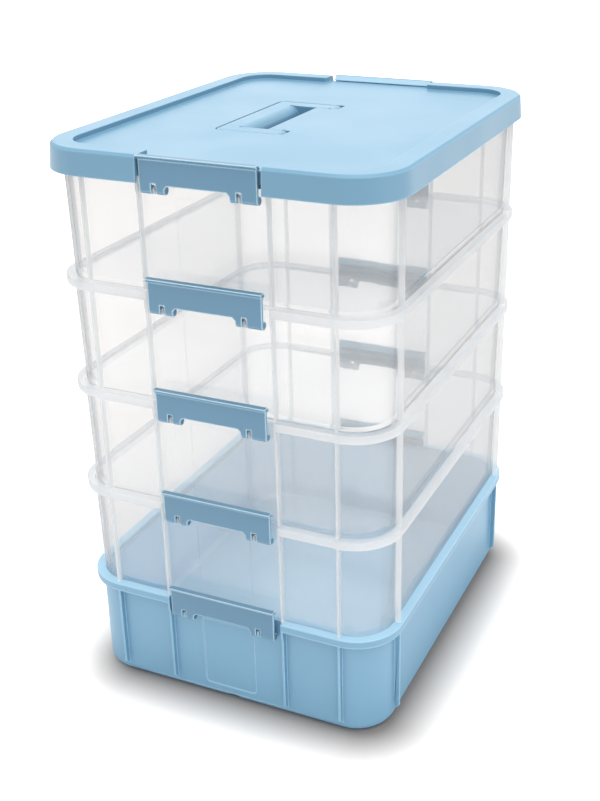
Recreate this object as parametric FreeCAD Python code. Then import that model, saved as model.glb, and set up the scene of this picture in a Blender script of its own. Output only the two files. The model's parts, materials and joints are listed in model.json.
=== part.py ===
import FreeCAD, Part
import math
import os
from FreeCAD import Vector

os.makedirs("parts", exist_ok=True)

# A stack of five trays with a lid that has a fold-down handle.
# Millimetres. The origin is the middle of the underside, +Z is up.
# X runs across the short faces, Y along the long faces, and the front is -Y.

# Driving sizes: how many clear trays stand on the base tray, and the main outline.
CLEAR_TRAYS = 4
RIM_WIDTH = 226.0
RIM_LENGTH = 276.0
RIM_CORNER = 31.5
BASE_HEIGHT = 75.0
TRAY_PITCH = 72.0

# Walls of the trays. The clear trays and every inside draw in by the draft at the foot.
WALL = 2.0
FLOOR = 2.2
WALL_DRAFT = 0.8
BASE_FOOT_ROUND = 7.0
FLOOR_BEVEL = 3.0

# The rim is a flange with a turned-down lip.
RIM_REACH = 4.8
RIM_HEIGHT = 5.0
RIM_PLATE = 2.0
RIM_LIP = 1.6

# Each tray stands on the rim of the one below, and ribs under its floor drop into that one's mouth.
NEST_DEPTH = 3.0
NEST_GAP = 0.4
NEST_RIB = 2.0

# Thin upright fins run from the rim to the foot, beside the latches and at the corners.
FIN_THICKNESS = 1.6
FIN_REACH = 3.8
FIN_LIFT = 1.0
FIN_GUSSET = 4.0

# Shallow panel in the middle of each short face, and the scoop below it.
PANEL_WIDTH = 38.0
PANEL_DEPTH = 0.5
PANEL_MARGIN = 10.0
PANEL_CORNER = 3.0
SCOOP_RADIUS = 20.0
SCOOP_DEPTH = 0.9

# Latch plate, measured outwards from the tray wall and up from its own rim.
# It sits off the middle of its gap by the offset, to the left of someone who faces it.
LATCH_WIDTH = 76.0
LATCH_OFFSET = -1.0
LATCH_SIDE_GAP = 3.2
LATCH_OUT = 5.6
LATCH_PLATE = 2.0
LATCH_ABOVE = 9.3
LATCH_LIP_REACH = 2.4
LATCH_LIP_HEIGHT = 2.7
LATCH_LIP_EDGE = 0.4
LATCH_LIP_SIDE = 0.7
LATCH_LEG_DROP = 8.0
LATCH_CUT_BEVEL = 1.8

# The hook at the top of the latch grips the catch of the piece above.
HOOK_REACH = 2.6
HOOK_EDGE = 0.8
HOOK_GAP = 0.5
CATCH_REACH = 2.2
CATCH_HEIGHT = 3.4
CATCH_WIDTH = 68.0

# Hinge of the latch: each leg ends in a barrel, and its slot bares the rod in a snap ear.
# The small rounds of this hinge, which comes ten times, are prisms with this many sides.
HINGE_SIDES = 10
BARREL_RADIUS = 2.6
BARREL_DROP = 11.2
ROD_RADIUS = 1.3
ROD_CLEARANCE = 0.05
SLOT_WIDTH = 3.0
SLOT_ABOVE = 4.0
EAR_THICKNESS = 1.8
EAR_RADIUS = 2.3
EAR_MOUTH = 1.9
# Each leg's left end, slot and right end as shares of half the latch width.
LEG_SHARES = ((-1.0, -0.758, -0.568), (0.534, 0.689, 1.0))

# Lid: skirt, raised border, recessed panel and the plug that seats in the top tray.
LID_OVER_RIM = 3.0
LID_FLARE = 1.0
LID_WALL = 2.0
LID_RISE = 11.0
LID_SKIRT = 16.2
LID_EDGE = 1.6
BORDER_WIDTH = 14.0
BORDER_DROP = 3.5
SEAT_INSET = 8.5
SEAT_WALL = 3.0
LID_PLUG = 4.0
LID_NOTCH_GAP = 2.2
# The lid's latches hook over its panel, so they and their ears sit this much higher than the others.
LID_LATCH_LIFT = 2.0

# Handle in its pocket.
HANDLE_LENGTH = 96.0
HANDLE_SPAN = 42.0
HANDLE_THICKNESS = 10.0
HANDLE_ARM = 11.0
HANDLE_FLAT = 10.5
HANDLE_GRIP = 18.5
HANDLE_CORNER = 3.0
HANDLE_OFFSET = 3.0
HANDLE_EDGE = 1.2
HANDLE_SEAM = 1.3
HANDLE_FRONT_SEAM = 0.5
HANDLE_END_SEAM = 0.5
HANDLE_INNER_SEAM = 0.5
PIVOT_RADIUS = 2.0
PIVOT_CLEARANCE = 0.05
PIVOT_LENGTH = 1.4
POCKET_DEPTH = 11.5
POCKET_WALL = 1.8
POCKET_OPEN = 31.5
SEAM_DOT = 1.3

# Extra length of every cutting shape past the surface that it cuts.
OVERRUN = 1.0

# Sizes that follow from the ones above.
WALL_WIDTH = RIM_WIDTH - 2 * RIM_REACH
WALL_LENGTH = RIM_LENGTH - 2 * RIM_REACH
WALL_CORNER = RIM_CORNER - RIM_REACH
LID_WIDTH = RIM_WIDTH + 2 * LID_OVER_RIM
LID_LENGTH = RIM_LENGTH + 2 * LID_OVER_RIM
LID_CORNER = RIM_CORNER + LID_OVER_RIM
GAP_WIDTH = LATCH_WIDTH + 2 * LATCH_SIDE_GAP
FIN_BESIDE_LATCH = (GAP_WIDTH + FIN_THICKNESS) / 2
FIN_AT_CORNER_X = WALL_WIDTH / 2 - WALL_CORNER
FIN_AT_CORNER_Y = WALL_LENGTH / 2 - WALL_CORNER
HINGE_OUT = LATCH_OUT - BARREL_RADIUS
CATCH_TOP = LATCH_ABOVE - HOOK_REACH - HOOK_EDGE - HOOK_GAP
TOP_RIM = BASE_HEIGHT + CLEAR_TRAYS * TRAY_PITCH
LID_TOP = TOP_RIM + LID_RISE
LID_PANEL = LID_TOP - BORDER_DROP


def box(x0, x1, y0, y1, z0, z1):
    return Part.makeBox(x1 - x0, y1 - y0, z1 - z0, Vector(x0, y0, z0))


def bar(radius, x0, x1, y, z):
    """Many-sided bar along X, whose flats lie at the radius."""
    step = math.pi / HINGE_SIDES
    reach = radius / math.cos(step)
    corners = []
    for i in range(HINGE_SIDES):
        turn = (2 * i + 1) * step
        corners.append(Vector(x0, y + reach * math.cos(turn), z + reach * math.sin(turn)))
    return Part.Face(Part.makePolygon(corners + corners[:1])).extrude(Vector(x1 - x0, 0, 0))


def cross_bar(radius, y0, y1, x, z):
    """Many-sided bar along Y."""
    shape = bar(radius, y0, y1, -x, z)
    shape.rotate(Vector(0, 0, 0), Vector(0, 0, 1), 90)
    return shape


def inscribed(radius):
    """Radius for a bar whose corners stay within this one."""
    return radius * math.cos(math.pi / HINGE_SIDES)


def upright_edges(shape, height):
    return [edge for edge in shape.Edges if edge.BoundBox.ZLength > height / 2]


def level_edges(shape, z):
    """Edges that lie wholly at height z."""
    flat = [edge for edge in shape.Edges if edge.BoundBox.ZLength < WALL / 2]
    return [edge for edge in flat if abs(edge.BoundBox.Center.z - z) < WALL / 2]


def block(width, length, corner, low, high, inset=0.0):
    """Straight block with round upright corners, drawn in all round by inset."""
    x = width / 2 - inset
    y = length / 2 - inset
    body = box(-x, x, -y, y, low, high)
    return body.makeFillet(corner - inset, upright_edges(body, high - low))


def drafted(width, length, corner, low, high, inset_low, inset_high):
    """Block with leaning sides, drawn in by one inset at its foot and another at its top."""
    x_low, y_low = width / 2 - inset_low, length / 2 - inset_low
    x_high, y_high = width / 2 - inset_high, length / 2 - inset_high
    body = Part.makeWedge(-x_low, low, -y_low, -y_high, -x_high, x_low, high, y_low, y_high, x_high)
    body.rotate(Vector(0, 0, 0), Vector(1, 0, 0), 90)
    return body.makeFillet(corner, upright_edges(body, high - low))


def both_ends(shape):
    """The shape made for the front face, with its copy turned round to the back face."""
    back = shape.copy()
    back.rotate(Vector(0, 0, 0), Vector(0, 0, 1), 180)
    return [shape, back]


def section(points, x0, x1, out, up):
    """Extrude an outline of (outwards, upwards) points along X, on the front face."""
    corners = [Vector(x0, -out - n, up + z) for n, z in points]
    return Part.Face(Part.makePolygon(corners + corners[:1])).extrude(Vector(x1 - x0, 0, 0))


def fin(half, low, high, slant):
    """Upright fin on the -Y side of a wall whose face is at y = -half."""
    foot = ((-WALL / 2, low - slant), (0, low - slant), (FIN_REACH, low))
    points = foot + ((FIN_REACH, high), (-WALL / 2, high))
    return section(points, -FIN_THICKNESS / 2, FIN_THICKNESS / 2, half, 0)


def fins(low, high, slant):
    solids = []
    for x in (FIN_BESIDE_LATCH, FIN_AT_CORNER_X):
        for side in (1, -1):
            upright = fin(WALL_LENGTH / 2, low, high, slant)
            upright.translate(Vector(side * x, 0, 0))
            solids += both_ends(upright)
    for side in (1, -1):
        upright = fin(WALL_WIDTH / 2, low, high, slant)
        upright.rotate(Vector(0, 0, 0), Vector(0, 0, 1), 90)
        upright.translate(Vector(0, side * FIN_AT_CORNER_Y, 0))
        solids += both_ends(upright)
    return solids


def rim(top):
    """Flange with a turned-down lip, open where the latches lie."""
    low = top - RIM_HEIGHT
    ring = block(RIM_WIDTH, RIM_LENGTH, RIM_CORNER, low, top)
    channel = block(RIM_WIDTH, RIM_LENGTH, RIM_CORNER, low - OVERRUN, top - RIM_PLATE, RIM_LIP)
    core = block(WALL_WIDTH, WALL_LENGTH, WALL_CORNER, low - OVERRUN, top + OVERRUN, WALL / 2)
    ring = ring.cut([core, channel.cut(core)])
    gap = box(-GAP_WIDTH / 2, GAP_WIDTH / 2, -RIM_LENGTH, -WALL_LENGTH / 2, low - OVERRUN, top + OVERRUN)
    ring = ring.cut(both_ends(gap))
    ends = []
    for side in (1, -1):
        end = rim_end(low)
        end.translate(Vector(side * FIN_BESIDE_LATCH, 0, 0))
        ends += both_ends(end)
    return [ring] + ends


def rim_end(low):
    """Closes the lip's end beside the latch and runs down into the fin."""
    inside = low + RIM_HEIGHT - RIM_PLATE
    points = (
        (-WALL / 2, low - 2 * FIN_GUSSET),
        (FIN_REACH, low - 2 * FIN_GUSSET),
        (RIM_REACH, low - FIN_GUSSET),
        (RIM_REACH, inside),
        (-WALL / 2, inside),
    )
    return section(points, -FIN_THICKNESS / 2, FIN_THICKNESS / 2, WALL_LENGTH / 2, 0)


def leg_places():
    """Left end, slot middle and right end of each latch leg along X."""
    return [[LATCH_OFFSET + share * LATCH_WIDTH / 2 for share in leg] for leg in LEG_SHARES]


def ear(top):
    """Snap ear that grips the latch's rod, on the front face, centred on X = 0."""
    y = -WALL_LENGTH / 2 - HINGE_OUT
    z = top - BARREL_DROP
    half = EAR_THICKNESS / 2
    lug = box(-half, half, y - EAR_RADIUS, -WALL_LENGTH / 2 + WALL / 2, z - EAR_RADIUS, z + EAR_RADIUS)
    nose = [edge for edge in lug.Edges if edge.BoundBox.YMax < y and edge.BoundBox.XLength > half]
    lug = lug.makeChamfer(EAR_RADIUS / 2, nose)
    hole = bar(ROD_RADIUS + ROD_CLEARANCE, -half - OVERRUN, half + OVERRUN, y, z)
    mouth = box(-half - OVERRUN, half + OVERRUN, y - EAR_MOUTH / 2, y + EAR_MOUTH / 2, z, z + 2 * EAR_RADIUS)
    return lug.cut([hole, mouth])


def ears(top):
    solids = []
    for _, slot, _ in leg_places():
        lug = ear(top)
        lug.translate(Vector(slot, 0, 0))
        solids += both_ends(lug)
    return solids


def catch(seat):
    """Bead on the short faces that the latch below hooks over."""
    foot = CATCH_TOP - CATCH_HEIGHT
    points = (
        (-WALL_DRAFT - WALL / 2, foot - CATCH_REACH / 2),
        (-WALL_DRAFT, foot - CATCH_REACH / 2),
        (CATCH_REACH, foot + CATCH_REACH / 2),
        (CATCH_REACH, CATCH_TOP),
        (-WALL_DRAFT - WALL / 2, CATCH_TOP),
    )
    return both_ends(section(points, -CATCH_WIDTH / 2, CATCH_WIDTH / 2, WALL_LENGTH / 2, seat))


def face_panel(low, high, draft):
    """Cutter for the shallow panel in the middle of each short face."""
    half = PANEL_WIDTH / 2
    deep = WALL_LENGTH / 2 - draft - PANEL_DEPTH
    cutter = box(-half, half, -WALL_LENGTH / 2 - OVERRUN, -deep, low, high)
    foot = [edge for edge in level_edges(cutter, low) if edge.BoundBox.XLength < OVERRUN]
    return both_ends(cutter.makeFillet(PANEL_CORNER, foot))


def panel_top(top):
    return top - BARREL_DROP - BARREL_RADIUS


def cavity(low, high, seat, top):
    """Inside of a tray's walls from low to high, following the same taper."""
    share = WALL_DRAFT / (top - seat)
    inset_low = WALL + (top - low) * share
    inset_high = WALL + (top - high) * share
    return drafted(WALL_WIDTH, WALL_LENGTH, WALL_CORNER - WALL, low, high, inset_low, inset_high)


def base_tray():
    body = block(WALL_WIDTH, WALL_LENGTH, WALL_CORNER, 0, BASE_HEIGHT)
    body = body.makeFillet(BASE_FOOT_ROUND, level_edges(body, 0))
    added = rim(BASE_HEIGHT) + ears(BASE_HEIGHT)
    added += fins(BASE_FOOT_ROUND + FIN_REACH, BASE_HEIGHT - RIM_PLATE, FIN_REACH)
    body = body.fuse(added)
    inside = cavity(FLOOR, BASE_HEIGHT + OVERRUN, 0, BASE_HEIGHT)
    inside = inside.makeChamfer(FLOOR_BEVEL, level_edges(inside, FLOOR))
    panels = face_panel(PANEL_MARGIN, panel_top(BASE_HEIGHT), 0)
    return body.cut([inside] + panels + scoops()).removeSplitter()


def scoops():
    """Shallow oval scoop in the rounded foot, in the middle of each short face."""
    lean = math.sqrt(0.5)
    out = WALL_LENGTH / 2 - BASE_FOOT_ROUND
    away = BASE_FOOT_ROUND + SCOOP_RADIUS - SCOOP_DEPTH
    centre = Vector(0, -out - away * lean, BASE_FOOT_ROUND - away * lean)
    return both_ends(Part.makeSphere(SCOOP_RADIUS, centre))


def clear_tray(level):
    """Tray that stands on the rim of the one below it; level 1 is the lowest."""
    seat = BASE_HEIGHT + (level - 1) * TRAY_PITCH
    top = seat + TRAY_PITCH
    body = drafted(WALL_WIDTH, WALL_LENGTH, WALL_CORNER, seat, top, WALL_DRAFT, 0)
    lift = LID_LATCH_LIFT if level == CLEAR_TRAYS else 0
    added = rim(top) + ears(top + lift) + catch(seat) + fins(seat + FIN_LIFT, top - RIM_PLATE, 0)
    body = body.fuse(added + nest_ribs(seat - NEST_DEPTH, seat + FLOOR / 2))
    inside = cavity(seat + FLOOR, top + OVERRUN, seat, top)
    panels = face_panel(seat + PANEL_MARGIN, panel_top(top), WALL_DRAFT)
    return body.cut([inside] + panels).removeSplitter()


def nest_ribs(low, high):
    """Straight ribs that fit inside the mouth of the tray below, one along each side."""
    inset = WALL + NEST_GAP
    x = WALL_WIDTH / 2 - inset
    y = WALL_LENGTH / 2 - inset
    ribs = both_ends(box(-FIN_AT_CORNER_X, FIN_AT_CORNER_X, -y, NEST_RIB - y, low, high))
    return ribs + both_ends(box(-x, NEST_RIB - x, -FIN_AT_CORNER_Y, FIN_AT_CORNER_Y, low, high))


def latch(top):
    """Front latch carried by the tray whose rim is at top."""
    out = WALL_LENGTH / 2
    inner = LATCH_OUT - LATCH_PLATE
    grip = LATCH_ABOVE - HOOK_REACH - HOOK_EDGE
    left = LATCH_OFFSET - LATCH_WIDTH / 2
    right = LATCH_OFFSET + LATCH_WIDTH / 2
    plate = (
        (inner, -LATCH_LEG_DROP),
        (LATCH_OUT, -LATCH_LEG_DROP),
        (LATCH_OUT, LATCH_ABOVE),
        (inner, LATCH_ABOVE),
        (inner - HOOK_REACH, grip + HOOK_EDGE),
        (inner - HOOK_REACH, grip),
        (inner, grip),
    )
    body = section(plate, left, right, out, top)
    added = [lip(left - LATCH_LIP_SIDE, right + LATCH_LIP_SIDE, top)]
    slots = []
    rods = []
    y = -out - HINGE_OUT
    z = top - BARREL_DROP
    half = SLOT_WIDTH / 2
    legs = leg_places()
    added += [cut_corner(legs[0][2], 1, top), cut_corner(legs[1][0], -1, top)]
    for start, slot, stop in legs:
        added += [leg(start, stop, top), bar(BARREL_RADIUS, start, stop, y, z)]
        below = z - 2 * BARREL_RADIUS
        slots.append(box(slot - half, slot + half, y - LATCH_OUT, -out, below, z + SLOT_ABOVE))
        rods.append(bar(inscribed(ROD_RADIUS), slot - half - WALL, slot + half + WALL, y, z))
    return body.fuse(added).cut(slots).fuse(rods).removeSplitter()


def lip(left, right, top):
    """Flared strip along the top of the latch, for the fingers."""
    reach = LATCH_OUT + LATCH_LIP_REACH
    edge = LATCH_ABOVE - LATCH_LIP_EDGE
    points = (
        (LATCH_OUT - LATCH_PLATE, edge),
        (LATCH_OUT, LATCH_ABOVE - LATCH_LIP_HEIGHT),
        (reach, edge),
        (reach, LATCH_ABOVE),
        (LATCH_OUT - LATCH_PLATE, LATCH_ABOVE),
    )
    return section(points, left, right, WALL_LENGTH / 2, top)


def leg(start, stop, top):
    """Flat leg between the plate and its barrel."""
    outer = -WALL_LENGTH / 2 - LATCH_OUT
    return box(start, stop, outer, outer + LATCH_PLATE, top - BARREL_DROP, top - LATCH_LEG_DROP)


def cut_corner(x, side, top):
    """Slanted inner corner between a leg and the plate's lower edge."""
    y = -WALL_LENGTH / 2 - LATCH_OUT
    z = top - LATCH_LEG_DROP
    corners = [Vector(x, y, z), Vector(x + side * LATCH_CUT_BEVEL, y, z), Vector(x, y, z - LATCH_CUT_BEVEL)]
    return Part.Face(Part.makePolygon(corners + corners[:1])).extrude(Vector(0, LATCH_PLATE, 0))


def lid():
    low = LID_TOP - LID_SKIRT
    under = LID_TOP - LID_WALL
    recess = LID_FLARE + BORDER_WIDTH
    outline = (LID_WIDTH, LID_LENGTH, LID_CORNER)
    shell = drafted(*outline, low, LID_TOP, 0, LID_FLARE)
    shell = shell.makeChamfer(LID_EDGE, level_edges(shell, LID_TOP))
    hollow = drafted(LID_WIDTH, LID_LENGTH, LID_CORNER - LID_WALL, low, under, LID_WALL, LID_WALL + LID_FLARE)
    shell = shell.cut([hollow, block(*outline, LID_PANEL, LID_TOP + OVERRUN, recess)])
    seat = block(*outline, TOP_RIM, LID_PANEL - LID_WALL / 2, SEAT_INSET)
    seat = seat.cut(block(*outline, TOP_RIM - OVERRUN, LID_TOP, SEAT_INSET + SEAT_WALL))
    step = block(*outline, LID_PANEL - LID_WALL, under + LID_WALL / 2, SEAT_INSET)
    step = step.cut(block(*outline, LID_PANEL - LID_WALL - OVERRUN, LID_TOP, recess))
    sheet = block(*outline, LID_PANEL - LID_WALL, LID_PANEL, recess - LID_WALL)
    ribs = nest_ribs(TOP_RIM - LID_PLUG, LID_PANEL - LID_WALL / 2)
    body = shell.fuse([seat, step, sheet] + ribs).cut(lid_notches(low))
    body = body.fuse(lid_catches() + notch_ends(under) + [pocket_box()])
    return body.cut(pocket_hollow()).removeSplitter()


def notch_half():
    return LATCH_WIDTH / 2 + LID_NOTCH_GAP


def lid_notches(low):
    """Room for the top latches: the skirt and the raised border stop beside them."""
    half = notch_half()
    out = WALL_LENGTH / 2 + CATCH_REACH
    front = box(-half, half, -LID_LENGTH, -out, low - OVERRUN, LID_TOP + OVERRUN)
    above = box(-half, half, -LID_LENGTH, -LID_LENGTH / 4, LID_PANEL, LID_TOP + OVERRUN)
    return both_ends(front) + both_ends(above)


def lid_catches():
    """Bar under the panel's edge in each notch, which the top latch hooks over."""
    half = notch_half()
    out = WALL_LENGTH / 2 + CATCH_REACH
    inner = LID_LENGTH / 2 - SEAT_INSET - SEAT_WALL
    return both_ends(box(-half, half, -out, -inner, TOP_RIM, LID_PANEL))


def notch_ends(under):
    """Small walls that close the raised border where it stops at a notch."""
    half = notch_half()
    inner = LID_LENGTH / 2 - SEAT_INSET - SEAT_WALL / 2
    outer = LID_LENGTH / 2 - LID_FLARE - LID_WALL / 2
    high = under + LID_WALL / 2
    solids = []
    for x in (-half - LID_WALL, half):
        solids += both_ends(box(x, x + LID_WALL, -outer, -inner, TOP_RIM + NEST_GAP, high))
    return solids


def handle_limits():
    """Ends of the folded handle along X, and its pivot."""
    pivot = HANDLE_OFFSET
    return pivot - HANDLE_SPAN, pivot, pivot + HANDLE_THICKNESS / 2


def pocket_box():
    grip_end, _, arm_end = handle_limits()
    x0 = grip_end - HANDLE_SEAM - POCKET_WALL
    x1 = arm_end + HANDLE_SEAM + POCKET_WALL
    y = HANDLE_LENGTH / 2 + HANDLE_SEAM + POCKET_WALL
    return box(x0, x1, -y, y, LID_PANEL - POCKET_DEPTH - POCKET_WALL, LID_PANEL - LID_WALL / 2)


def pocket_hollow():
    """Cutter: the space for the handle and fingers, round the middle island."""
    grip_end, pivot, arm_end = handle_limits()
    start = grip_end - HANDLE_SEAM
    stop = arm_end + HANDLE_END_SEAM
    front = HANDLE_LENGTH / 2 + HANDLE_FRONT_SEAM
    back = HANDLE_LENGTH / 2 + HANDLE_SEAM
    low = LID_PANEL - POCKET_DEPTH
    room = box(start, stop, -front, back, low, LID_PANEL + OVERRUN)
    corners = [edge for edge in upright_edges(room, POCKET_DEPTH) if edge.BoundBox.XMax < pivot - HANDLE_GRIP]
    room = room.makeFillet(HANDLE_CORNER + HANDLE_SEAM, corners)
    side = HANDLE_LENGTH / 2 - HANDLE_ARM - HANDLE_INNER_SEAM
    island = box(grip_end + POCKET_OPEN, stop, -side, side, low, LID_PANEL + 2 * OVERRUN)
    wall = POCKET_WALL
    ceiling = LID_PANEL - wall
    inner = grip_end + POCKET_OPEN + wall
    core = box(inner, stop - wall, wall - side, side - wall, low - 2 * wall, ceiling)
    reach = back + PIVOT_LENGTH
    level = LID_PANEL - HANDLE_THICKNESS / 2
    sockets = cross_bar(PIVOT_RADIUS + PIVOT_CLEARANCE, -reach, reach, pivot, level)
    cutters = [room.cut(island), core, sockets.cut(island)]
    for place in (-side, side):
        dot = Part.makeCylinder(SEAM_DOT, HANDLE_THICKNESS)
        dot.translate(Vector(pivot, place, level))
        cutters.append(dot)
    return cutters


def handle():
    """Handle lying in its pocket: a grip with a rolled inner edge, two arms and a pivot pin at each end."""
    low = LID_PANEL - HANDLE_THICKNESS
    mid = LID_PANEL - HANDLE_THICKNESS / 2
    grip_end, pivot, arm_end = handle_limits()
    y = HANDLE_LENGTH / 2
    frame = box(grip_end, pivot, -y, y, low, LID_PANEL)
    corners = [edge for edge in upright_edges(frame, HANDLE_THICKNESS) if edge.BoundBox.XMax < pivot]
    corners = [edge for edge in corners if edge.BoundBox.XMax < grip_end + HANDLE_EDGE]
    frame = frame.makeFillet(HANDLE_CORNER, corners)
    lower = [edge for edge in level_edges(frame, low) if edge.BoundBox.XMax < grip_end + 2 * HANDLE_CORNER]
    frame = frame.makeChamfer(HANDLE_EDGE, lower)
    knuckle = Part.makeCylinder(HANDLE_THICKNESS / 2, 2 * y, Vector(pivot, -y, mid), Vector(0, 1, 0))
    frame = frame.fuse(knuckle).cut(handle_window(low))
    root = y - HANDLE_ARM / 2
    tip = y + HANDLE_SEAM + PIVOT_LENGTH - PIVOT_CLEARANCE
    thick = inscribed(PIVOT_RADIUS)
    pins = [cross_bar(thick, root, tip, pivot, mid), cross_bar(thick, -tip, -root, pivot, mid)]
    return frame.fuse(pins).removeSplitter()


def handle_window(low):
    """Cutter between the arms, whose outer side rolls the grip's inner edge over."""
    grip_end, _, arm_end = handle_limits()
    flat = grip_end + HANDLE_FLAT
    back = grip_end + HANDLE_GRIP
    roll = back - flat
    lean = roll * math.sqrt(0.5)
    start = Vector(flat, 0, LID_PANEL)
    middle = Vector(flat + lean, 0, LID_PANEL - roll + lean)
    stop = Vector(back, 0, LID_PANEL - roll)
    floor = low - OVERRUN
    ceiling = LID_PANEL + OVERRUN
    end = arm_end + OVERRUN
    corners = [stop, Vector(back, 0, floor), Vector(end, 0, floor), Vector(end, 0, ceiling)]
    corners += [Vector(flat, 0, ceiling), start]
    edges = [Part.Arc(start, middle, stop).toShape()] + Part.makePolygon(corners).Edges
    half = HANDLE_LENGTH / 2 - HANDLE_ARM
    cutter = Part.Face(Part.Wire(edges)).extrude(Vector(0, 2 * half, 0))
    cutter.translate(Vector(0, -half, 0))
    return cutter


def save(name, shape):
    print(name, len(shape.Solids), round(shape.Volume))
    shape.exportStep("parts/" + name + ".step")


save("base_tray", base_tray())
save("lid", lid())
save("handle", handle())
for level in range(1, CLEAR_TRAYS + 1):
    save("clear_tray_" + str(level), clear_tray(level))
for level in range(CLEAR_TRAYS + 1):
    lift = LID_LATCH_LIFT if level == CLEAR_TRAYS else 0
    front, back = both_ends(latch(BASE_HEIGHT + level * TRAY_PITCH + lift))
    save("front_latch_" + str(level + 1), front)
    save("back_latch_" + str(level + 1), back)
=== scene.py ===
import json
import math

import bmesh
import bpy
from mathutils import Matrix, Vector


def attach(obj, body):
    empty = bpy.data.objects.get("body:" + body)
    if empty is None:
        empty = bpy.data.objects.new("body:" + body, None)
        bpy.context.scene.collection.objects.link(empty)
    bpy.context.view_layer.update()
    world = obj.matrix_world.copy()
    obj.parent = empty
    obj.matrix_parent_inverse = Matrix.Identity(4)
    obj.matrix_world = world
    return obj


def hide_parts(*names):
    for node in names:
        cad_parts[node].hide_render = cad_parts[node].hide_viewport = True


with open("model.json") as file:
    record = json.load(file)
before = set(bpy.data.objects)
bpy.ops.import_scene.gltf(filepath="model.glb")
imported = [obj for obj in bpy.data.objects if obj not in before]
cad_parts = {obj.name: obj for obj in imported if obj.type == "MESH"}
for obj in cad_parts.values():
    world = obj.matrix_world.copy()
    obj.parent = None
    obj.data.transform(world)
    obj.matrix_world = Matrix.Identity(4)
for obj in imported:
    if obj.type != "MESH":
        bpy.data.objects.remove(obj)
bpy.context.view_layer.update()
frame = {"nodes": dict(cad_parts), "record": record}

NODES = frame["nodes"]
BODIES = frame["record"]["behaviour"]["bodies"]
BODY_OF = {node: body for body, nodes in BODIES.items() for node in nodes}
MM = 0.001

# Camera of the photograph, fitted to the outline of the lid, the rims and the base.
PHOTO_WIDTH, PHOTO_HEIGHT = 600, 801
SENSOR = 36.0
FOCAL_PIXELS = 1195.4
CENTRE_PIXEL = (341.9, 363.3)
CAMERA_PLACE = Vector((0.3358, -0.7058, 0.5314))
CAMERA_TURN, CAMERA_TILT, CAMERA_ROLL = -0.4139, 0.4053, 0.0100
NEAREST_SEEN, FURTHEST_SEEN = 0.05, 50.0

# Places on the trays, from the solids: wall planes and rims, and where a rim stops beside a latch.
CLEAR_TRAYS = 4
TRAY_PITCH = 72.0 * MM
FIRST_SEAT = 75.0 * MM
WALL_X, WALL_Y, WALL_CORNER = 108.2 * MM, 133.2 * MM, 26.7 * MM
RIM_X, RIM_Y, RIM_CORNER = 113.0 * MM, 138.0 * MM, 31.5 * MM
RIM_HEIGHT = 5.0 * MM
RIM_END = 42.8 * MM

# Round bead under each rim: its middle lies inside the rim's outline, and few faces make it round.
BEAD_INSET = 0.8 * MM
BEAD_RADIUS = 0.75 * MM
BEAD_SIDES, BEAD_BEND_STEPS = 10, 10

# Parts of the base painted lighter, as painted light: inside the wall planes, above the ground, and its
# rim's top.
INNER_FACE, INNER_FLOOR = 1.6 * MM, 1.0 * MM
RIM_TOP = 0.2 * MM

# A face is upright where its normal rises less than this.
UPRIGHT_LEAN = 0.5

# A latch's face looks at the case where its normal looks back by more than this. Those faces are painted
# lighter, as painted light.
LOOKS_BACK = 0.5

# Satin blue: size of the faint clouding, roughness, and the fine grain.
# The real grain is about 0.05 mm wide. It is drawn at 0.5 mm so that it shows.
CLOUD_SIZE = 55.0 * MM
SATIN_ROUGHNESS = (0.36, 0.44)
GRAIN_SIZE, GRAIN_DEPTH, GRAIN_STRENGTH = 0.5 * MM, 0.03 * MM, 0.12
BLUE_PLASTIC_IOR = 1.6

# Painted highlight along the edges: its width, and the cosine of the rounded normal's turn where it starts
# and is full.
EDGE_HIGHLIGHT_WIDTH = 1.2 * MM
EDGE_HIGHLIGHT_STARTS, EDGE_HIGHLIGHT_FULL = 0.995, 0.93

# Clear plastic: size of the flow marks, roughness, and the least and most mirroring of a surface.
FLOW_SIZE = 40.0 * MM
POLISHED_ROUGHNESS = (0.06, 0.12)
LEAST_MIRROR, MOST_MIRROR = 0.03, 0.30
THIN_WALL_IOR = 1.01

# How milky one surface of the clear plastic is: on a wall, on a thick rim or fin, and seen on edge.
WALL_HAZE, RIM_HAZE, EDGE_HAZE = 0.06, 0.45, 0.75
EDGE_POWER = 6.0

# How far the clear plastic is tinted grey, partly for its thickness and partly as painted shade: floors and
# walls seen aslant, and what stands proud of a wall.
FLOOR_TINT, WALL_TINT, RIM_TINT = 0.3, 1.0, 0.16
ASLANT_POWER = 3.0
PROUD = 0.1 * MM

# The part of a noise's range in which nearly all of its values lie.
NOISE_SPAN = (0.3, 0.7)

# Strength of the soft light all round, at the horizon and overhead.
SKY_LOW, SKY_HIGH = 0.40, 1.4

# White floor as the eye sees it, beside the case and further off, as shares of the light on it.
FLOOR_NEAR = (0.28, 0.25, 0.235, 1.0)
FLOOR_FAR = (1.45, 1.40, 1.36, 1.0)
FLOOR_FADE = 38.0 * MM
FLOOR_SHIFT = (7.0 * MM, -5.0 * MM, 0.0)
FLOOR_SIZE = 12

# How bright the white surroundings and the floor look through clear plastic, against their own look.
SKY_THROUGH, FLOOR_THROUGH = 0.87, 0.60

# Softboxes in metres and watts: name, place, width and height, power. All aim at one point in the case.
SOFTBOXES = (
    ("ceiling_softbox", (0.4, -0.5, 2.8), (2.4, 2.4), 20.0),
    ("right_softbox", (2.8, -0.3, 0.7), (1.8, 1.4), 7.0),
    ("back_softbox", (-1.1, 2.3, 1.2), (2.4, 1.2), 9.0),
)
LAMP_AIM = Vector((0, 0, 0.15))

# Edge rounding of the moulded pieces. Faces larger than FLAT_AREA are flat panels and are shaded flat.
EDGE_ROUND = 0.35 * MM
EDGE_STEPS = 2
SHARP_ANGLE = math.radians(28)
FLAT_ANGLE = math.radians(0.4)
FLAT_AREA = 1000 * MM * MM
WELD = 0.002 * MM


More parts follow.
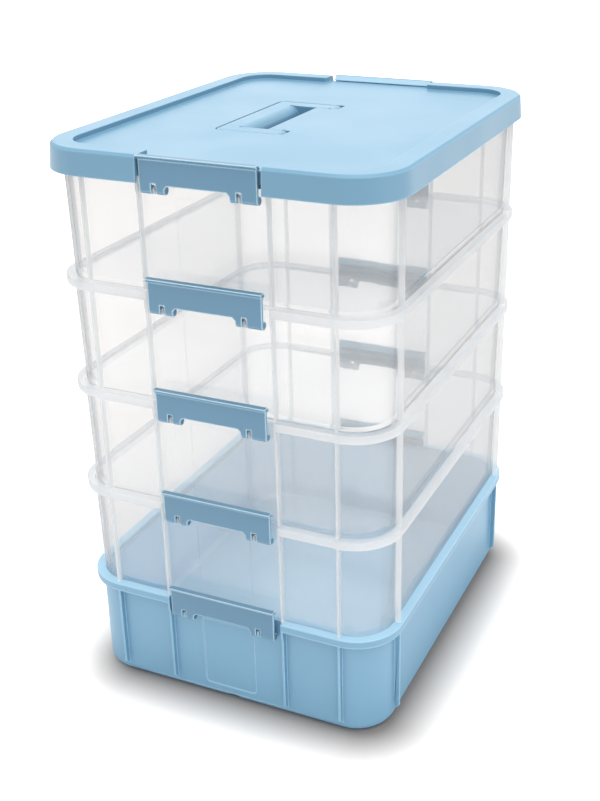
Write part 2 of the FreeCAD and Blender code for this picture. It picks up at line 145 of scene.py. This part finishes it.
def linear(hex_colour):
    """sRGB hex to the linear colour that a shader takes."""
    parts = [int(hex_colour[i:i + 2], 16) / 255 for i in (1, 3, 5)]
    lit = [c / 12.92 if c <= 0.04045 else ((c + 0.055) / 1.055) ** 2.4 for c in parts]
    return (*lit, 1.0)


WHITE = linear("#FFFFFF")


def add(tree, kind, settings=()):
    """Adds a node. A setting is a property of it, or an input with a value or another node's output."""
    node = tree.nodes.new(kind)
    for name, value in dict(settings).items():
        if isinstance(value, bpy.types.NodeSocket):
            tree.links.new(value, node.inputs[name])
        elif isinstance(name, int) or name in node.inputs:
            node.inputs[name].default_value = value
        else:
            setattr(node, name, value)
    return node


def maths(tree, operation, *parts):
    """Output of a Math node whose parts are numbers or other nodes' outputs."""
    return add(tree, "ShaderNodeMath", {"operation": operation, **dict(enumerate(parts))}).outputs[0]


def vectors(tree, operation, *parts):
    """Output of a Vector Math node whose parts are vectors or other nodes' outputs."""
    return add(tree, "ShaderNodeVectorMath", {"operation": operation, **dict(enumerate(parts))}).outputs[0]


def spread(tree, value, low, high, start=0.0, end=1.0):
    """Output that runs from low to high while the value runs from start to end."""
    ends = {"Value": value, "From Min": start, "From Max": end, "To Min": low, "To Max": high}
    return add(tree, "ShaderNodeMapRange", ends).outputs["Result"]


def blend(tree, share, first, second):
    """Output of a mix of two colours."""
    return add(tree, "ShaderNodeMix", {"data_type": "RGBA", 0: share, 6: first, 7: second}).outputs[2]


def layer(tree, share, first, second):
    """Output of a mix of two shaders."""
    return add(tree, "ShaderNodeMixShader", {0: share, 1: first, 2: second}).outputs[0]


def noise(tree, place, size, detail):
    """Output of a soft noise whose lumps have the given size."""
    settings = {"Vector": place, "Scale": 1 / size, "Detail": detail}
    return add(tree, "ShaderNodeTexNoise", settings).outputs["Fac"]


def object_place(tree):
    """The point of the surface in the shared frame."""
    return add(tree, "ShaderNodeTexCoord").outputs["Object"]


def facing(tree):
    """The X, Y and Z outputs of the direction that the surface looks in."""
    normal = add(tree, "ShaderNodeTexCoord").outputs["Normal"]
    return add(tree, "ShaderNodeSeparateXYZ", {"Vector": normal}).outputs


def blank_material(name):
    """A material with no nodes, and its tree."""
    material = bpy.data.materials.new(name)
    material.use_nodes = True
    material.node_tree.nodes.clear()
    return material, material.node_tree


def outline_distance(tree, place, half_width, half_length, corner):
    """Distance from the core of a rounded rectangle, whose outline lies at the corner radius from it."""
    core = (half_width - corner, half_length - corner, 0.0)
    past = vectors(tree, "SUBTRACT", vectors(tree, "ABSOLUTE", place), core)
    level = vectors(tree, "MULTIPLY", past, (1.0, 1.0, 0.0))
    outside = vectors(tree, "MAXIMUM", level, (0.0, 0.0, 0.0))
    return add(tree, "ShaderNodeVectorMath", {"operation": "LENGTH", 0: outside}).outputs["Value"]


def inside_of_base(tree):
    """Mask of the base's inner walls and floor, and of the top of its rim, which are painted lighter as
    painted light.
    """
    place = object_place(tree)
    height = add(tree, "ShaderNodeSeparateXYZ", {"Vector": place}).outputs["Z"]
    reach = outline_distance(tree, place, WALL_X, WALL_Y, WALL_CORNER)
    within = maths(tree, "LESS_THAN", reach, WALL_CORNER - INNER_FACE)
    above = maths(tree, "GREATER_THAN", height, INNER_FLOOR)
    top = maths(tree, "GREATER_THAN", height, FIRST_SEAT - RIM_TOP)
    return maths(tree, "MAXIMUM", maths(tree, "MULTIPLY", within, above), top)


def upright_faces(tree):
    """Mask of the faces that stand upright."""
    return maths(tree, "LESS_THAN", maths(tree, "ABSOLUTE", facing(tree)["Z"]), UPRIGHT_LEAN)


def faces_towards_case(tree):
    """Mask of a latch's faces that look at the case, which are painted lighter as painted light."""
    away = add(tree, "ShaderNodeSeparateXYZ", {"Vector": object_place(tree)}).outputs["Y"]
    return maths(tree, "LESS_THAN", maths(tree, "MULTIPLY", facing(tree)["Y"], away), -LOOKS_BACK * WALL_Y)


def satin_blue(name, pale, deep, edge_highlight, painted_shading_mask, painted_shading_tone):
    """Opaque blue polypropylene from a spark-eroded mould.

    The eye sees a soft satin sheen and a fine grain. Its edges are painted lighter, as a painted highlight.
    The faces that the mask names are painted a shade lighter or deeper, as painted light and shade.
    """
    material, tree = blank_material(name)
    place = object_place(tree)
    cloud = noise(tree, place, CLOUD_SIZE, 3.0)
    clouded = blend(tree, cloud, linear(deep), linear(pale))
    # Painted light and shade: the faces that the mask names are painted lighter or deeper.
    painted_shading = blend(tree, painted_shading_mask(tree), clouded, linear(painted_shading_tone))
    # Painted highlight: edges, where the rounded normal turns away from the flat one, are painted lighter.
    rounded = add(tree, "ShaderNodeBevel", {"Radius": EDGE_HIGHLIGHT_WIDTH}).outputs["Normal"]
    flat = add(tree, "ShaderNodeNewGeometry").outputs["Normal"]
    turned = add(tree, "ShaderNodeVectorMath", {"operation": "DOT_PRODUCT", 0: rounded, 1: flat})
    highlight_share = spread(tree, turned.outputs["Value"], 0.0, 1.0, EDGE_HIGHLIGHT_STARTS, EDGE_HIGHLIGHT_FULL)
    highlighted = blend(tree, highlight_share, painted_shading, linear(edge_highlight))
    grain = noise(tree, place, GRAIN_SIZE, 2.0)
    relief = {"Strength": GRAIN_STRENGTH, "Distance": GRAIN_DEPTH, "Height": grain}
    bump = add(tree, "ShaderNodeBump", relief).outputs["Normal"]
    gloss = spread(tree, cloud, *SATIN_ROUGHNESS, *NOISE_SPAN)
    finish = {"IOR": BLUE_PLASTIC_IOR, "Base Color": highlighted, "Roughness": gloss, "Normal": bump}
    shader = add(tree, "ShaderNodeBsdfPrincipled", finish)
    add(tree, "ShaderNodeOutputMaterial", {"Surface": shader.outputs["BSDF"]})
    return material


def clear_polypropylene():
    """Clarified polypropylene from a polished mould.

    The eye sees through it, with a faint milky haze, and it looks whiter where it is thick or seen on edge.
    """
    material, tree = blank_material("clear_polypropylene")
    place = object_place(tree)
    gloss = spread(tree, noise(tree, place, FLOW_SIZE, 2.0), *POLISHED_ROUGHNESS, *NOISE_SPAN)
    slant = add(tree, "ShaderNodeLayerWeight", {"Blend": 0.5}).outputs["Facing"]
    on_edge = maths(tree, "POWER", slant, EDGE_POWER)

    # The rims, fins, ears and catches stand out of the walls, and their thicker plastic looks whiter.
    reach = outline_distance(tree, place, WALL_X, WALL_Y, WALL_CORNER)
    thick = maths(tree, "GREATER_THAN", reach, WALL_CORNER + PROUD)
    haze = spread(tree, on_edge, spread(tree, thick, WALL_HAZE, RIM_HAZE), EDGE_HAZE)
    milk = linear("#F4F6F8")
    lit_side = add(tree, "ShaderNodeBsdfDiffuse", {"Color": milk}).outputs[0]
    far_side = add(tree, "ShaderNodeBsdfTranslucent", {"Color": milk}).outputs[0]
    milky = layer(tree, 0.5, lit_side, far_side)

    # Seen aslant, a wall is thicker to the eye and darker, and so are the rims and fins. The grey is partly
    # this thickness and partly painted shade for the dark lines that bent light draws there. Floors stay
    # clear: they get less grey than walls, as painted light against the shade on them.
    aslant = maths(tree, "POWER", slant, ASLANT_POWER)
    share = spread(tree, upright_faces(tree), FLOOR_TINT, WALL_TINT)
    thickness_and_painted_shade = maths(tree, "MULTIPLY_ADD", thick, RIM_TINT, maths(tree, "MULTIPLY", aslant, share))
    tint_and_painted_shade = blend(tree, thickness_and_painted_shade, linear("#FEFEFE"), linear("#B6B9BC"))

    # A thin wall shifts what is behind it by almost nothing, so it bends light by next to nothing.
    pane = {"Roughness": 0.0, "IOR": THIN_WALL_IOR, "Color": tint_and_painted_shade}
    see_through = add(tree, "ShaderNodeBsdfGlass", pane).outputs[0]
    shine = add(tree, "ShaderNodeBsdfGlossy", {"Color": WHITE, "Roughness": gloss}).outputs[0]
    mirror = spread(tree, on_edge, LEAST_MIRROR, MOST_MIRROR)
    surface = layer(tree, mirror, layer(tree, haze, see_through, milky), shine)

    # The lamps shine through it and leave no dark shadow.
    lamp_light = add(tree, "ShaderNodeBsdfTransparent", {"Color": WHITE}).outputs[0]
    shadow = add(tree, "ShaderNodeLightPath").outputs["Is Shadow Ray"]
    add(tree, "ShaderNodeOutputMaterial", {"Surface": layer(tree, shadow, surface, lamp_light)})
    return material


def rim_bead_tree():
    """Round bead that follows the lower edge of a tray's rim and stops at the latches, on both halves."""
    tree = bpy.data.node_groups.new("rim_bead", "GeometryNodeTree")
    tree.interface.new_socket("Geometry", in_out="OUTPUT", socket_type="NodeSocketGeometry")
    for label in ("Half Width", "Half Length", "Corner", "Half Gap", "Height", "Bead Radius"):
        tree.interface.new_socket(label, in_out="INPUT", socket_type="NodeSocketFloat")
    tree.interface.new_socket("Finish", in_out="INPUT", socket_type="NodeSocketMaterial")
    given = add(tree, "NodeGroupInput").outputs
    back = given["Half Length"]
    front = maths(tree, "MULTIPLY", back, -1.0)
    gap, side = given["Half Gap"], given["Half Width"]
    path = {"mode": "POINTS"}
    for number, (x, y) in enumerate(((gap, front), (side, front), (side, back), (gap, back)), 1):
        stop = add(tree, "ShaderNodeCombineXYZ", {"X": x, "Y": y, "Z": given["Height"]})
        path["Point " + str(number)] = stop.outputs[0]
    closed = add(tree, "GeometryNodeCurvePrimitiveQuadrilateral", path)
    opened = add(tree, "GeometryNodeSetSplineCyclic", {"Geometry": closed.outputs[0], "Cyclic": False})
    bend = {"mode": "POLY", "Curve": opened.outputs[0], "Count": BEAD_BEND_STEPS, "Radius": given["Corner"]}
    rounded = add(tree, "GeometryNodeFilletCurve", bend)
    ring = {"Resolution": BEAD_SIDES, "Radius": given["Bead Radius"]}
    circle = add(tree, "GeometryNodeCurvePrimitiveCircle", ring)
    sweep = {"Curve": rounded.outputs[0], "Profile Curve": circle.outputs[0], "Fill Caps": True}
    bead = add(tree, "GeometryNodeCurveToMesh", sweep)
    half_turn = {"Geometry": bead.outputs[0], "Rotation": (0.0, 0.0, math.pi)}
    other = add(tree, "GeometryNodeTransform", half_turn)
    both = add(tree, "GeometryNodeJoinGeometry")
    for half in (bead, other):
        tree.links.new(half.outputs[0], both.inputs[0])
    real = add(tree, "GeometryNodeRealizeInstances", {"Geometry": both.outputs[0]})
    smooth = add(tree, "GeometryNodeSetShadeSmooth", {"Geometry": real.outputs[0]})
    finish = {"Geometry": smooth.outputs[0], "Material": given["Finish"]}
    painted = add(tree, "GeometryNodeSetMaterial", finish)
    add(tree, "NodeGroupOutput", {"Geometry": painted.outputs[0]})
    return tree


def rim_bead(tree, node, top, finish):
    """The bead under one tray's rim, as a plain mesh on that tray's body."""
    source = bpy.data.objects.new("bead_source", bpy.data.meshes.new("bead_source"))
    bpy.context.scene.collection.objects.link(source)
    nodes = source.modifiers.new("rim_bead", "NODES")
    nodes.node_group = tree
    sizes = {
        "Half Width": RIM_X - BEAD_INSET,
        "Half Length": RIM_Y - BEAD_INSET,
        "Corner": RIM_CORNER - BEAD_INSET,
        "Half Gap": RIM_END,
        "Height": top - RIM_HEIGHT,
        "Bead Radius": BEAD_RADIUS,
        "Finish": finish,
    }
    for item in tree.interface.items_tree:
        if item.in_out == "INPUT":
            nodes[item.identifier] = sizes[item.name]
    seen = source.evaluated_get(bpy.context.evaluated_depsgraph_get())
    mesh = bpy.data.meshes.new_from_object(seen)
    bpy.data.objects.remove(source)
    bead = bpy.data.objects.new(node + "_rim_bead", mesh)
    bpy.context.scene.collection.objects.link(bead)
    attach(bead, BODY_OF[node])
    return bead


def dressed_copy(node, material):
    """Copy of a CAD node with its doubles merged and its moulded edges rounded."""
    source = NODES[node]
    mesh = source.data.copy()
    work = bmesh.new()
    work.from_mesh(mesh)
    bmesh.ops.remove_doubles(work, verts=work.verts, dist=WELD)
    bmesh.ops.dissolve_limit(work, angle_limit=FLAT_ANGLE, verts=work.verts, edges=work.edges)
    work.to_mesh(mesh)
    work.free()
    piece = bpy.data.objects.new(node + "_moulded", mesh)
    bpy.context.scene.collection.objects.link(piece)
    mesh.materials.clear()
    mesh.materials.append(material)
    bevel = piece.modifiers.new("rounded_edges", "BEVEL")
    bevel.width = EDGE_ROUND
    bevel.segments = EDGE_STEPS
    bevel.limit_method = "ANGLE"
    bevel.angle_limit = SHARP_ANGLE
    bevel.use_clamp_overlap = False
    bevel.harden_normals = True
    mesh.set_sharp_from_angle(angle=SHARP_ANGLE)
    for face in mesh.polygons:
        face.use_smooth = face.area < FLAT_AREA
    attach(piece, BODY_OF[node])
    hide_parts(node)
    return piece


def camera():
    """Camera at the photograph's angle."""
    level = math.cos(CAMERA_TILT)
    forward = Vector((math.sin(CAMERA_TURN) * level, math.cos(CAMERA_TURN) * level, -math.sin(CAMERA_TILT)))
    right = Vector((math.cos(CAMERA_TURN), -math.sin(CAMERA_TURN), 0))
    down = forward.cross(right)
    rolled_right = right * math.cos(CAMERA_ROLL) + down * math.sin(CAMERA_ROLL)
    rolled_down = down * math.cos(CAMERA_ROLL) - right * math.sin(CAMERA_ROLL)
    turn = Matrix((rolled_right, -rolled_down, -forward)).transposed().to_4x4()
    data = bpy.data.cameras.new("photo_camera")
    data.sensor_width = SENSOR
    data.lens = FOCAL_PIXELS * SENSOR / PHOTO_HEIGHT
    data.shift_x = (PHOTO_WIDTH / 2 - CENTRE_PIXEL[0]) / PHOTO_HEIGHT
    data.shift_y = (CENTRE_PIXEL[1] - PHOTO_HEIGHT / 2) / PHOTO_HEIGHT
    data.clip_start = NEAREST_SEEN
    data.clip_end = FURTHEST_SEEN
    eye = bpy.data.objects.new("photo_camera", data)
    eye.matrix_world = Matrix.Translation(CAMERA_PLACE) @ turn
    bpy.context.scene.collection.objects.link(eye)
    bpy.context.scene.camera = eye


def backdrop_rays(tree):
    """Masks of the rays that see the backdrop directly or mirrored, and of those through clear plastic."""
    path = add(tree, "ShaderNodeLightPath").outputs
    straight = maths(tree, "MAXIMUM", path["Is Camera Ray"], path["Is Glossy Ray"])
    return straight, path["Is Transmission Ray"]


def white_surroundings():
    """World that lights the case softly from all round and looks plain white itself."""
    world = bpy.data.worlds.new("studio")
    world.use_nodes = True
    bpy.context.scene.world = world
    tree = world.node_tree
    tree.nodes.clear()
    upwards = add(tree, "ShaderNodeTexCoord").outputs["Generated"]
    height = add(tree, "ShaderNodeSeparateXYZ", {"Vector": upwards}).outputs["Z"]
    straight, through = backdrop_rays(tree)
    direct = spread(tree, straight, spread(tree, height, SKY_LOW, SKY_HIGH), 1.0)
    strength = spread(tree, through, direct, SKY_THROUGH)
    light = add(tree, "ShaderNodeBackground", {"Color": WHITE, "Strength": strength})
    add(tree, "ShaderNodeOutputWorld", {"Surface": light.outputs["Background"]})


def white_paper_sweep():
    """White paper as the eye sees it on a lit table, with the soft shadow of the case around its foot."""
    material, tree = blank_material("white_paper_sweep")
    shifted = vectors(tree, "SUBTRACT", object_place(tree), FLOOR_SHIFT)
    away = outline_distance(tree, shifted, WALL_X, WALL_Y, WALL_CORNER)
    share = spread(tree, away, 0.0, 1.0, WALL_CORNER - FLOOR_SHIFT[0], WALL_CORNER + FLOOR_FADE)
    seen = blend(tree, share, FLOOR_NEAR, FLOOR_FAR)
    straight, through = backdrop_rays(tree)
    dimming = {"operation": "SCALE", 0: seen, "Scale": FLOOR_THROUGH}
    dimmed = add(tree, "ShaderNodeVectorMath", dimming).outputs[0]
    tone = blend(tree, through, blend(tree, straight, WHITE, seen), dimmed)
    shader = add(tree, "ShaderNodeBsdfDiffuse", {"Color": tone})
    add(tree, "ShaderNodeOutputMaterial", {"Surface": shader.outputs["BSDF"]})
    return material


def studio():
    """White floor and surroundings with plain soft light from above, from the right and from behind."""
    scene = bpy.context.scene
    scene.view_settings.view_transform = "Standard"
    white_surroundings()
    bpy.ops.mesh.primitive_plane_add(size=FLOOR_SIZE, location=(0, 0, 0))
    floor = bpy.context.object
    floor.name = "studio_floor"
    floor.data.materials.append(white_paper_sweep())
    for name, place, size, power in SOFTBOXES:
        data = bpy.data.lights.new(name, "AREA")
        data.shape = "RECTANGLE"
        data.size, data.size_y = size
        data.energy = power
        lamp = bpy.data.objects.new(name, data)
        lamp.location = place
        lamp.rotation_mode = "QUATERNION"
        lamp.rotation_quaternion = (Vector(place) - LAMP_AIM).to_track_quat("Z", "Y")
        scene.collection.objects.link(lamp)


# Pale and deep tone of each moulding, the tone of its painted edge highlight, and the faces painted lighter
# or deeper as painted light and shade.
# The latches are a shade deeper.
# The lid's upright faces are painted deeper, as painted shade.
lid_blue = satin_blue(
    "satin_blue_polypropylene_lid", "#76A8C4", "#70A2BF", "#8FBDD6", upright_faces, "#6996B1")
# The base's inside and rim top are painted lighter, as painted light.
base_blue = satin_blue(
    "satin_blue_polypropylene_base", "#79A8C4", "#73A3C0", "#A9D3E8", inside_of_base, "#A4D0E9")
# The latches' faces towards the case are painted lighter, as painted light.
latch_blue = satin_blue(
    "satin_blue_polypropylene_latch", "#5C89A5", "#5683A0", "#CDEDFA", faces_towards_case, "#ABD2E7")
clear = clear_polypropylene()

BLUES = {"lid": lid_blue, "handle": lid_blue, "base_tray": base_blue}
for name in sorted(NODES):
    if name.startswith("clear_tray"):
        dressed_copy(name, clear)
    else:
        dressed_copy(name, BLUES.get(name, latch_blue))

beads = rim_bead_tree()
rim_bead(beads, "base_tray", FIRST_SEAT, base_blue)
for level in range(1, CLEAR_TRAYS + 1):
    top = FIRST_SEAT + level * TRAY_PITCH
    rim_bead(beads, "clear_tray_" + str(level), top, clear)

camera()
studio()
